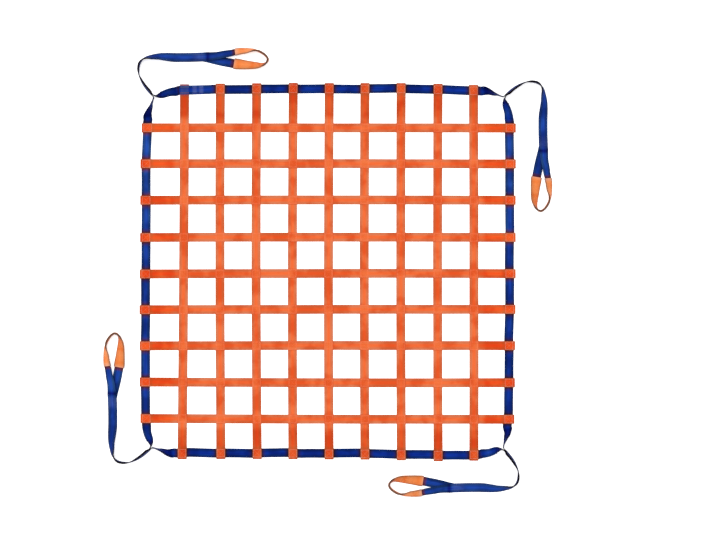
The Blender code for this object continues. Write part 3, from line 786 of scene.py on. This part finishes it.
beltMarks = {
    "creaseReach": 0.046,  # from the middle of a strap
    "creaseFade": 0.018,
    "blocks": [(-0.813, -0.769), (-0.752, -0.719), (-0.714, -0.686)],  # sewn blocks of the lap
    "smoothTo": -0.74,  # the lap has no painted shade up to here
    "topSide": 0.9,
    "onEdge": (0.80, 0.17),  # where painted shade starts on a standing belt, and how fast it deepens
    "mouthReach": 1.6,  # where a mouth's shade ends, in lengths of mouthShade
    "mouthCuts": 6,
    "sheenBeyond": 0.95,  # the two sides with painted sheen, and how far along them
    "sheenUpTo": 0.79,
    # the lap and its sewn blocks are paler
    "lapPale": (-0.77, -0.62, 0.12),
    "blockPale": 0.15,
    "fadeIn": 0.012,
    "fadeOut": 0.016,
    # distance along the belt where a shade starts and ends, and its depth
    "bands": {"splice": (0.018, 0.038, 0.95), "arriving": (0.075, 0.135, 0.75),
              "leaving": (-0.01, 0.055, 0.8)},
    # distance along the belt, spread and depth of a painted highlight
    "sheenAndPale": {"leaving": (0.098, 0.018, 0.45), "arriving": (0.05, 0.015, 0.25),
             "splice": (0.085, 0.030, 0.4)},
    # depth, reach, middle, fade and end of the sewing before the splice
    "spliceSewn": (0.3, 0.040, 0.022, 0.02, 0.012),
}
centres = np.array([tuple(c[0]) for c in beltCuts])
beltAlong = arcLength(centres)
across, along = centres[:, 0], centres[:, 1]
order = np.arange(len(centres))
legCutCount = len(out) + len(eye) + len(home)

# sewn, and painted shade beside the straps, where the belt stands on edge and at the sleeve mouths
seatSpots = []
for index in range(4):
    spin = quarterTurns(index)
    seatSpots += [tuple(spin @ Vector((*seat[:2], 0)))[:2] for seat in sideSeats(index)]
nearSeat = np.min(np.linalg.norm(centres[:, None, :2] - np.array(seatSpots)[None], axis=2), axis=1)
# painted shade on the belt beside each strap
crease = np.clip((beltMarks["creaseReach"] - nearSeat) / beltMarks["creaseFade"], 0, 1)
onTop = (along > beltMarks["topSide"]) & (order < legStarts[1])
sewn = sum(((across > a) & (across < b) & onTop).astype(float) for a, b in beltMarks["blocks"])
crease[onTop & (across < beltMarks["smoothTo"])] = 0
upright = np.array([abs(cut[1].z) for cut in beltCuts])  # 1 where the belt stands on edge
# painted shade where the belt stands on edge
onEdge = np.clip((upright - beltMarks["onEdge"][0]) / beltMarks["onEdge"][1], 0, 1)
onLeg = np.zeros(len(centres), dtype=bool)
for index in range(4):
    begin = legStarts[index]
    onLeg[begin:begin + legCutCount] = True
    # painted shadow on the belt at each sleeve's mouth
    for mouth in [begin + len(out) - 1 + cut for cut in sleeveCuts]:
        reach = np.linalg.norm(centres - centres[mouth], axis=1)
        crease = np.maximum(crease, np.clip(beltMarks["mouthReach"] - reach / belt["mouthShade"], 0, 1)
                            * (np.abs(order - mouth) < beltMarks["mouthCuts"]))

# painted sheen, a paler lap, legs and sewn blocks, and painted shade where the belt turns at a corner and
# where a leg's plies part
sheenAndPale = np.where(across < 0, np.interp(along, *belt["sheenLeft"]), np.interp(along, *belt["sheenRight"]))
sheenAndPale = np.where(onLeg, belt["legPale"], sheenAndPale * (np.abs(across) > beltMarks["sheenBeyond"])
                * (np.abs(along) < beltMarks["sheenUpTo"]))
lapFrom, lapTo, lapPale = beltMarks["lapPale"]
sheenAndPale[onTop & (across > lapFrom) & (across < lapTo)] = lapPale
sheenAndPale += beltMarks["blockPale"] * sewn
shaded = np.zeros(len(centres))
for index in range(4):
    begin, last = legStarts[index], legStarts[index] + legCutCount - 1
    distances = {"splice": beltAlong - beltAlong[begin + len(out) - 1],
                 "arriving": beltAlong[begin] - beltAlong, "leaving": beltAlong - beltAlong[last]}
    for where, (first, end, depth) in beltMarks["bands"].items():
        near = (np.clip((distances[where] - first) / beltMarks["fadeIn"] + 0.5, 0, 1)
                * np.clip((end - distances[where]) / beltMarks["fadeOut"] + 0.5, 0, 1))
        shaded = np.maximum(shaded, near * depth)
    for where, (spot, spread, depth) in beltMarks["sheenAndPale"].items():
        sheenAndPale += depth * np.exp(-((distances[where] - spot) / spread) ** 2)
    depth, reach, middle, fade, end = beltMarks["spliceSewn"]
    near = np.clip((reach - np.abs(distances["splice"] + middle)) / fade, 0, 1)
    sewn = np.maximum(sewn, depth * near * (distances["splice"] < end))
beltPiece, beltLength = weave(
    "webbing_border_and_legs", [Vector(c) for c in centres], [c[1] for c in beltCuts],
    [c[2] for c in beltCuts], blueWebbing, 90.0,
    toned=sheenAndPale, sewn=sewn, crease=crease, onEdge=onEdge, shaded=shaded)
print("belt laid:", len(beltCuts), "cuts,", round(beltLength, 2), "m")


# wear sleeves: flat tubes of woven fabric over the eyes
sleeveLook = {  # hem replaces the colour; edge and onEdge multiply it, painted shade on the folded edges and where the sleeve stands on edge
    "light": (0.84, 0.240, 0.058), "deep": (0.80, 0.165, 0.020), "line": (0.80, 0.29, 0.095),
    "hem": (0.70, 0.36, 0.23), "edge": (0.36, 0.52, 0.90), "onEdge": (0.27, 0.34, 0.58),
    "yarn": 1.1, "relief": 0.00015, "roughness": 0.82, "gloss": 0.2, "sheen": 0.08}


def sleeveFinish(name, look):
    material, graph, around, along = newFinish(name, "fabric")
    around, along = around * 1000.0, along * 1000.0
    warp = around.calc("SINE", around * (2 * math.pi / look["yarn"]))
    weft = around.calc("SINE", along * (2 * math.pi / look["yarn"]))
    check = warp * weft
    cloud = graph.noise(around * 0.035 + along * 0.012, along * 0.022, 2.0)
    line = graph.noise(around * 0.6, along * 0.02, 5.0)
    hem, edge, onEdge = [graph.add("ShaderNodeAttribute", {"attribute_name": label}).out("Fac")
                         for label in ("hem", "edge", "onEdge")]
    colour = graph.mixColour(graph.band(cloud, 0.36, 0.64), look["light"], look["deep"])
    colour = graph.mixColour(graph.band(line, 0.4, 0.7) * 0.4, colour, look["line"])
    colour = graph.mixColour(hem * 0.75, colour, look["hem"])
    # painted shade on the folded edges, and where the sleeve stands on edge
    colour = graph.tint(edge, colour, look["edge"])
    colour = graph.tint(onEdge * (edge * 0.8 + 0.2), colour, look["onEdge"])
    colour = graph.tint(1.0, colour, graph.grey(0.93 + check * 0.07))
    rough = look["roughness"] + (cloud - 0.5) * 0.2
    height = check + graph.noise(around * 2.0, along * 2.0, 0.0) * 0.6
    bump = graph.add("ShaderNodeBump", None,
                     {"Strength": 0.6, "Distance": look["relief"], "Height": height})
    closeFinish(graph, colour, rough, bump, {
        "Specular IOR Level": look["gloss"], "Sheen Weight": look["sheen"]})
    return material


sleeveFabric = sleeveFinish("orange sleeve fabric", sleeveLook)


def sleeveShape(cuts, chance):  # outer and lining points, place along, and marks for each point
    centre, across, facing = [np.array([tuple(cut[part]) for cut in cuts]) for part in range(3)]
    along = arcLength(centre)
    heading = np.gradient(centre, axis=0)
    heading /= np.linalg.norm(heading, axis=1)[:, None]
    turning = np.gradient(heading, along, axis=0)
    bend = np.clip(np.linalg.norm(turning, axis=1) / sleeve["fullTurn"], 0, 1)[:, None]
    outside = -np.einsum("ij,ij->i", turning, facing)  # positive where facing looks out of the turn
    angle = np.arange(sleeve["around"]) / sleeve["around"] * 2 * math.pi
    a = np.sign(np.cos(angle)) * np.abs(np.cos(angle)) ** sleeve["squareness"]
    b = np.sin(angle)
    standing = np.clip((np.abs(across[:, 2]) - sleeve["standsFrom"]) / sleeve["standsFade"], 0, 1)
    toMouth = np.minimum(along, along[-1] - along)
    hem = np.clip((sleeve["hem"] - toMouth) / sleeve["hemFade"], 0, 1)
    waves = [(chance.uniform(60, 180), chance.uniform(0, 6.28), chance.uniform(-2, 2)) for _ in range(6)]
    tucks = sum(np.sin(along[:, None] * rate + phase + slant * a[None]) / 6 for rate, phase, slant in waves)
    inner = np.clip(-np.sign(outside)[:, None] * b[None], 0, 1) * bend
    folds = np.sin(along[:, None] * 2 * math.pi / sleeve["puckerPitch"] + np.sin(a[None] * 2.5) * 0.8)
    push = (tucks * sleeve["tuck"] + sleeve["ease"]
            + inner * sleeve["pucker"] * (0.5 + 0.5 * folds)) * (1 - hem[:, None])
    full = (np.maximum(push, 0) + hem[:, None] * sleeve["hemRise"])[:, :, None]
    halfWidth = sleeve["width"] / 2
    thick = (sleeveThick / 2 * (1 + sleeve["swell"] * standing))[:, None, None]

    def tube(wide, deep):
        return (centre[:, None] + across[:, None] * (a[None, :, None] * wide)
                + facing[:, None] * (b[None, :, None] * deep)).reshape(-1, 3)

    points = np.concatenate((tube(halfWidth + full * sleeve["edgeShare"], thick + full),
                             tube(halfWidth - sleeve["wall"], thick - sleeve["wall"])))
    base, more, spot, spread = sleeve["tipDark"]
    # painted shade where the sleeve stands on edge, deeper towards its tip
    darker = standing * (base + more * np.exp(-((along / along[-1] - spot) / spread) ** 2))
    edge = np.clip((np.abs(a) - sleeve["edgeFrom"]) / sleeve["edgeFade"], 0, 1)
    around = sleeve["around"]
    return points, along, {"hem": np.tile(np.repeat(hem, around), 2),
                           "edge": np.tile(edge, len(cuts) * 2),
                           "onEdge": np.tile(np.repeat(darker, around), 2)}


def tubeFaces(count, around):  # outer skin, lining, and the walls at both mouths
    lining = count * around
    faces = []
    for row in range(count - 1):
        for place in range(around):
            following = (place + 1) % around
            a0, a1 = row * around + place, row * around + following
            b0, b1 = a0 + around, a1 + around
            faces.append((a0, b0, b1, a1))
            faces.append((a0 + lining, a1 + lining, b1 + lining, b0 + lining))
    end = (count - 1) * around
    for place in range(around):
        following = (place + 1) % around
        faces.append((place, following, following + lining, place + lining))
        faces.append((end + place, end + place + lining, end + following + lining, end + following))
    return faces


sleeveMap = {  # metres
    "girth": 0.13,
    "side": 0.45,  # of the baked square
    "liningAcross": 0.14,
    "mouthsFrom": 0.43,
    "mouthStep": 0.004,
    "wall": 0.0015,
    "across": 0.004,
    "along": 0.005,
}


def mapSleeve(mesh, along):
    around, lining = sleeve["around"], len(along) * sleeve["around"]
    fabric = mesh.uv_layers.new(name="fabric")
    bake = mesh.uv_layers.new(name="OFBake")
    fabricPlaces, bakePlaces = [np.zeros((len(mesh.loops), 2), dtype=np.float32) for _ in range(2)]
    for polygon in mesh.polygons:
        indices = [mesh.loops[i].vertex_index for i in polygon.loop_indices]
        spots = [i % around for i in indices]
        wraps = max(spots) == around - 1 and min(spots) == 0
        atMouth = len({i >= lining for i in indices}) == 2
        for loop, index, spot in zip(polygon.loop_indices, indices, spots):
            inside = index >= lining
            row = index % lining // around
            u = (around if wraps and spot == 0 else spot) / around * sleeveMap["girth"]
            fabricPlaces[loop] = (u, along[row])
            if atMouth:
                strip = inside * sleeveMap["wall"] + (row > 0) * sleeveMap["mouthStep"]
                bakePlaces[loop] = (u + sleeveMap["across"], sleeveMap["mouthsFrom"] + strip)
            else:
                bakePlaces[loop] = (u + sleeveMap["across"] + inside * sleeveMap["liningAcross"],
                                    along[row] + sleeveMap["along"])
    fabric.data.foreach_set("uv", fabricPlaces.ravel())
    bake.data.foreach_set("uv", (bakePlaces * (0.98 / sleeveMap["side"]) + 0.005).ravel())
    mesh.uv_layers.active = fabric


def buildSleeve(name, cuts, seed):
    points, along, marks = sleeveShape(cuts, random.Random(seed))
    mesh = bpy.data.meshes.new(name)
    mesh.from_pydata(points.tolist(), [], tubeFaces(len(cuts), sleeve["around"]))
    mesh.update()
    volume = 0.0  # below zero when the shell came out inside out
    for polygon in mesh.polygons:
        corner = [mesh.vertices[i].co for i in polygon.vertices]
        for i in range(1, len(corner) - 1):
            volume += corner[0].dot(corner[i].cross(corner[i + 1]))
    if volume < 0:
        mesh.flip_normals()
    mapSleeve(mesh, along)
    for label, values in marks.items():
        pointValues(mesh, label, values)
    mesh.polygons.foreach_set("use_smooth", [True] * len(mesh.polygons))
    mesh.materials.append(sleeveFabric)
    mesh.set_sharp_from_angle(angle=math.radians(60))
    piece = bpy.data.objects.new(name, mesh)
    collection.objects.link(piece)
    return piece, float(along[-1])


sleeves = {}
for index, (side, *_) in enumerate(belt["corners"]):
    sleeves[side] = buildSleeve(f"sleeve_{side}", turnedBy(cornerFrame(index), sleeved), 50 + index)
print("sleeves fitted:", len(sleeves))

# sewing
thread = {
    "pitch": 0.0062,
    "length": 0.0049,
    "radius": 0.00048,
    "bite": 0.00010,  # how far a stitch's middle stands off the web
    "boxHalf": 0.019,
    "boxTurn": 0.8,  # degrees, and metres of size, by which a sewn box is off
    "boxWander": 0.0006,
    "topInset": 0.001,
    "outlineOut": 0.0028,
    "borderOut": 0.0015,
    "under": 0.00025,  # height above the floor of the stitches on the underside
    "sunk": 0.00005,  # of a stitch into the face it lies on
    "runStep": 0.008,
    "rowEnd": 0.00001,  # the two ends of a cross row lie this far apart along the belt
    "lapRows": 0.0085,
    "lapLines": (-0.021, -0.0105, 0.0, 0.0105, 0.021),
    "lapReach": 0.019,
    "binds": 12,
    "bindStep": 0.0041,
    "bindHeight": 0.0004,
    "legReach": 0.018,
    "legBars": (0.003, 0.010, 0.017, 0.024),
    "legFrom": 0.012,  # clear of the corner
    "legTo": 0.004,  # clear of the splice
    "hemIn": 0.0095,
    "hemReach": 0.024,
}


def buildStitchTree():
    graph, given = newTree("stitches", [
        ("Pitch", "Float"), ("Length", "Float"), ("Radius", "Float"), ("Seed", "Int"),
        ("Material", "Material")])
    lines = graph.add("GeometryNodeMeshToCurve", None, {0: given})
    spaced = graph.add("GeometryNodeResampleCurve", {"mode": "LENGTH"},
                       {"Curve": lines, "Length": given.out("Pitch")})
    ball = graph.add("GeometryNodeMeshUVSphere", None, {"Segments": 6, "Rings": 4, "Radius": 1.0})
    wrapped = graph.add("GeometryNodeStoreNamedAttribute",
                        {"data_type": "FLOAT2", "domain": "CORNER"},
                        {"Geometry": ball, "Name": "thread", "Value": ball.out("UV Map")})
    lying = graph.add("GeometryNodeTransform", None,
                      {"Geometry": graph.add("GeometryNodeSetShadeSmooth", None, {0: wrapped}),
                       "Rotation": (0, math.pi / 2, 0)})
    facing = graph.add("GeometryNodeInputNamedAttribute", {"data_type": "FLOAT_VECTOR"},
                       {"Name": "facing"})
    tangent = graph.add("GeometryNodeInputTangent")
    turn = graph.add("FunctionNodeAxesToRotation", {"primary_axis": "Z", "secondary_axis": "X"},
                     {0: facing, 1: tangent})
    vary = graph.add("FunctionNodeRandomValue", {"data_type": "FLOAT"},
                     {"Min": 0.92, "Max": 1.06, "Seed": given.out("Seed")}, 1)
    size = graph.add("ShaderNodeCombineXYZ", None,
                     {0: given.out("Length") * 0.5 * vary, 1: given.out("Radius") * vary,
                      2: given.out("Radius") * 0.85})
    sewnOn = graph.add("GeometryNodeInstanceOnPoints", None,
                       {"Points": spaced, "Instance": lying, "Rotation": turn, "Scale": size})
    return closeTree(graph, sewnOn, given.out("Material"))


stitchTree = buildStitchTree()


def threadFinish(name, colour, shadow):
    material, graph, along, around = newFinish(name, "thread")
    twist = along.calc("SINE", (along * 2.0 + around * 3.0) * (2 * math.pi)) * 0.5 + 0.5
    tone = graph.mixColour(twist, shadow, colour)
    rough = 0.5 + twist * 0.2
    bump = graph.add("ShaderNodeBump", None, {"Strength": 0.5, "Distance": 0.0001, "Height": twist})
    closeFinish(graph, tone, rough, bump, {"Specular IOR Level": 0.3})
    return material


threads = {name: threadFinish(f"{name} thread", colour, shadow) for name, colour, shadow in (
    ("orange", (0.84, 0.21, 0.085), (0.72, 0.13, 0.045)),
    ("coral", (0.95, 0.27, 0.13), (0.86, 0.18, 0.075)),
    ("pale pink", (0.86, 0.52, 0.43), (0.74, 0.33, 0.25)),
    ("blue", (0.075, 0.13, 0.38), (0.035, 0.07, 0.26)),
    ("lilac", (0.22, 0.23, 0.56), (0.13, 0.14, 0.40)),
    ("grey lilac", (0.20, 0.22, 0.33), (0.12, 0.13, 0.22)),
    ("mauve", (0.30, 0.12, 0.18), (0.17, 0.065, 0.11)))}


class Seams:  # runs of stitches gathered into one piece
    def __init__(self):
        self.points, self.edges, self.facings = [], [], []

    def run(self, points, facings):
        start = len(self.points)
        self.points += points
        self.facings += facings
        self.edges += [(start + i, start + i + 1) for i in range(len(points) - 1)]

    def straight(self, start, end, facing):
        gap = (end - start).normalized() * thread["pitch"] / 2  # no two stitches share a hole
        self.run([start + gap, end - gap], [facing, facing])

    def outline(self, x, y, z, size, turn, facing):
        spin = Matrix.Rotation(turn, 3, "Z")
        corners = [Vector((x, y, z)) + spin @ Vector((size * sx, size * sy, 0))
                   for sx, sy in ((-1, -1), (1, -1), (1, 1), (-1, 1))]
        for start, end in zip(corners, corners[1:] + corners[:1]):
            self.straight(start, end, facing)
        return corners

    def box(self, x, y, z, size, turn, facing, outline=None):
        # a crossed box, whose outline may be sewn in another thread
        corners = (outline or self).outline(x, y, z, size, turn, facing)
        self.straight(corners[0], corners[2], facing)
        self.straight(corners[1], corners[3], facing)

    def sew(self, name, finish, seed, thickness=1.0):
        path = pathMesh(f"{name}_line", self.points, self.edges, {"facing": self.facings})
        piece = grow(name, path, stitchTree, {
            "Pitch": thread["pitch"], "Length": thread["length"],
            "Radius": thread["radius"] * thickness, "Seed": seed, "Material": finish})
        mapStitches(piece.data)
        return piece


def mapStitches(mesh):  # every stitch bakes in a small square of its own
    threadMap = mesh.uv_layers.get("thread")
    if threadMap is None:
        raise SystemExit("stitches lost their map")
    count = len(mesh.loops)
    uv = np.empty(count * 2, dtype=np.float32)
    threadMap.data.foreach_get("uv", uv)
    uv = uv.reshape(-1, 2)
    perStitch = 6 * (2 * 3 + 2 * 4)  # corners of one stitch's faces
    number = np.arange(count) // perStitch
    across = math.ceil(math.sqrt(number.max() + 1))
    cell = np.column_stack((number % across, number // across))
    bake = mesh.uv_layers.new(name="OFBake")
    bake.data.foreach_set("uv", ((cell + 0.08 + uv * 0.84) / across).astype(np.float32).ravel())
    mesh.uv_layers.active = threadMap


def offBox():  # how far a sewn box is turned, and its half size
    turn = math.radians(dice.uniform(-thread["boxTurn"], thread["boxTurn"]))
    return turn, thread["boxHalf"] + dice.uniform(-thread["boxWander"], thread["boxWander"])


down = Vector((0, 0, -1))
topZ, bottomZ = layer + 2 * face + thread["bite"], thread["under"]
crossTop, crossUnder, borderTop, borderUnder, crossOutlines, outlines = [Seams() for _ in range(6)]
for column, upright in enumerate(net["upright"]):
    for row, crosswise in enumerate(net["crosswise"]):
        x, y = strapPlace(upright, row / 8), strapPlace(crosswise, column / 8)
        turn, size = offBox()
        crossTop.box(x, y, topZ, size - thread["topInset"], turn, up, crossOutlines)
        crossOutlines.outline(x, y, topZ, size + thread["outlineOut"], turn, up)
        crossUnder.box(x, y, bottomZ, size, turn, down)
for side in range(4):
    for along, seatOut, *_ in sideSeats(side):
        spot = quarterTurns(side) @ Vector((along, seatOut, 0))
        turn, size = offBox()
        borderUnder.box(spot.x, spot.y, bottomZ, size, turn, down)
        if side > 0 or along > -0.7:  # the lap covers the first one
            borderTop.box(spot.x, spot.y, topZ + layer, size + thread["borderOut"], turn, up, outlines)


def onBelt(sideways, distance, side):  # a point on the belt's face and the way the face looks
    index = int(np.clip(np.searchsorted(beltAlong, distance) - 1, 0, len(beltAlong) - 2))
    t = (distance - beltAlong[index]) / (beltAlong[index + 1] - beltAlong[index])
    one, two = beltCuts[index], beltCuts[index + 1]
    centre, across, facing = [a.lerp(b, t) for a, b in zip(one, two)]
    facing = facing.normalized() * side
    lift = face - thread["sunk"] + thread["bite"]
    return centre + across.normalized() * sideways + facing * lift, facing


def beltRun(seams, sidewaysFrom, sidewaysTo, start, end, side):
    count = max(2, math.ceil(abs(end - start) / thread["runStep"]) + 1)
    points, facings = [], []
    for step in range(count):
        t = step / (count - 1)
        point, facing = onBelt(sidewaysFrom + (sidewaysTo - sidewaysFrom) * t,
                               start + (end - start) * t, side)
        points.append(point)
        facings.append(facing)
    seams.run(points, facings)


def crossRow(seams, reach, place):
    beltRun(seams, -reach, reach, place, place + thread["rowEnd"], 1)


lap, legs = Seams(), Seams()
topX = centres[:legStarts[1], 0]
for blockStart, blockEnd in beltMarks["blocks"]:
    start, end = [float(np.interp(x, topX, beltAlong[:legStarts[1]])) for x in (blockStart, blockEnd)]
    rows = round((end - start) / thread["lapRows"])
    for row in range(rows + 1):  # closely set
        crossRow(lap, thread["lapReach"], start + (end - start) * row / rows)
    for sideways in thread["lapLines"]:
        beltRun(lap, sideways, sideways, start, end, 1)
# close stitches that bind the lap to the fold of the first strap, from inside its edges
lapOuter, lapInner = Seams(), Seams()
firstX, firstOut = [value * mm for value in (net["upright"][0][0], net["upright"][0][3])]
heights = [3 * layer + 2 * face, 3 * layer + 2 * face, 2 * layer + 2 * face]
for step in range(thread["binds"]):
    x = firstX + (step - (thread["binds"] - 1) / 2) * thread["bindStep"]
    for seams, turn, reaches in ((lapOuter, 1, (0.018, half - 0.0005, half + 0.0085)),
                                 (lapInner, -1, (0.014, half - 0.0005, half + 0.0045))):
        seams.run([Vector((x, firstOut + turn * reach, z + thread["bindHeight"]))
                   for reach, z in zip(reaches, heights)], [up] * 3)
legSpan = beltAlong[legStarts[1] + len(out) - 1] - beltAlong[legStarts[1]]
homeSpan = arcLength(np.array([tuple(c[0]) for c in home]))[-1]
for index in range(4):
    begin = beltAlong[legStarts[index]]
    homeEnd = beltAlong[legStarts[index] + legCutCount - 1]
    homeStart, outEnd = homeEnd - homeSpan, begin + legSpan
    for sideways in (-thread["legReach"], thread["legReach"]):
        for start, end in ((begin + thread["legFrom"], outEnd - thread["legTo"]),
                           (homeStart + thread["legTo"], homeEnd - thread["legFrom"])):
            beltRun(legs, sideways, sideways, start, end, 1)
    for step in thread["legBars"]:  # bars that close the corner and the splice
        for place in (begin + step, homeEnd - step, outEnd - step, homeStart + step):
            crossRow(legs, thread["legReach"], place)

hems = Seams()
for index in range(4):
    cuts = turnedBy(cornerFrame(index), sleeved)
    along = arcLength(np.array([tuple(c[0]) for c in cuts]))
    for distance in (thread["hemIn"], along[-1] - thread["hemIn"]):
        spot = int(np.searchsorted(along, distance))
        centre, across, facing = cuts[spot]
        for side in (1, -1):
            lift = facing * side * (sleeveThick / 2 + sleeve["hemRise"] - thread["sunk"])
            hems.run([centre + across * a + lift for a in (-thread["hemReach"], thread["hemReach"])],
                     [facing * side] * 2)

stitching = {}
for part, seams, tone, seed, thickness in (
        ("crossings_top", crossTop, "orange", 1, 1.0), ("crossings_under", crossUnder, "orange", 2, 1.0),
        ("border_top", borderTop, "coral", 3, 1.4), ("crossings_outline", crossOutlines, "coral", 10, 2.0),
        ("border_outline", outlines, "pale pink", 8, 1.9), ("border_under", borderUnder, "orange", 4, 1.0),
        ("lap", lap, "lilac", 5, 0.9), ("lap_outer", lapOuter, "grey lilac", 9, 2.9),
        ("lap_inner", lapInner, "mauve", 11, 2.5), ("legs", legs, "blue", 6, 1.0),
        ("sleeves", hems, "orange", 7, 1.0)):
    name = f"stitches_{part}"
    stitching[name] = seams.sew(name, threads[tone], seed, thickness)
triangles = {piece.name: sum(len(face.vertices) - 2 for face in piece.data.polygons)
             for piece in [*stitching.values(), beltPiece, *(p for p, _ in straps.values()),
                           *(p for p, _ in sleeves.values())]}
print("triangles:", sum(triangles.values()), "in all, most in a piece", max(triangles.values()))

# what each piece is and what it stands for
for node, (piece, length) in straps.items():
    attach(piece, "root")
    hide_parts(node)
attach(beltPiece, "root")
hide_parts("border_start", *[f"{kind}_{side}" for side, *_ in belt["corners"]
                                         for kind in ("border", "lifting_leg")])
for side, (piece, length) in sleeves.items():
    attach(piece, "root")
    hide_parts(f"eye_sleeve_{side}")
for name, piece in stitching.items():
    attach(piece, "root")

# floor and light
studio = {
    "floorZ": -0.0009,
    "floorSize": 60.0,
    "floorColour": (0.94, 0.94, 0.945),
    "floorGlow": 0.5,  # a light table, so that the floor stays white under the legs
    "world": 0.5,
    "sun": 2.7,
    "sunAngle": 50,  # softness, degrees
    "sunTilt": (14, 0, 215),  # a wide lamp overhead, a little to the upper left
}

floorMesh = bpy.data.meshes.new("floor")
reach = studio["floorSize"] / 2
floorMesh.from_pydata([(reach * x, reach * y, studio["floorZ"])
                       for x, y in ((-1, -1), (1, -1), (1, 1), (-1, 1))], [], [(0, 1, 2, 3)])
floorMaterial = bpy.data.materials.new("pale floor")
floorMaterial.use_nodes = True
floorShader = floorMaterial.node_tree.nodes["Principled BSDF"]
floorShader.inputs["Base Color"].default_value = (*studio["floorColour"], 1)
floorShader.inputs["Emission Color"].default_value = (1, 1, 1, 1)
floorShader.inputs["Emission Strength"].default_value = studio["floorGlow"]
floorShader.inputs["Roughness"].default_value = 0.9
floorShader.inputs["Specular IOR Level"].default_value = 0.1
floorMesh.materials.append(floorMaterial)
floor = bpy.data.objects.new("floor", floorMesh)
collection.objects.link(floor)

world = bpy.data.worlds.new("studio")
bpy.context.scene.world = world
world.use_nodes = True
world.node_tree.nodes["Background"].inputs["Color"].default_value = (1, 1, 1, 1)
world.node_tree.nodes["Background"].inputs["Strength"].default_value = studio["world"]
sun = bpy.data.objects.new("softbox", bpy.data.lights.new("softbox", "SUN"))
collection.objects.link(sun)
sun.data.energy = studio["sun"]
sun.data.angle = math.radians(studio["sunAngle"])
sun.rotation_euler = [math.radians(a) for a in studio["sunTilt"]]
bpy.context.scene.view_settings.view_transform = "Standard"
print("studio lit")
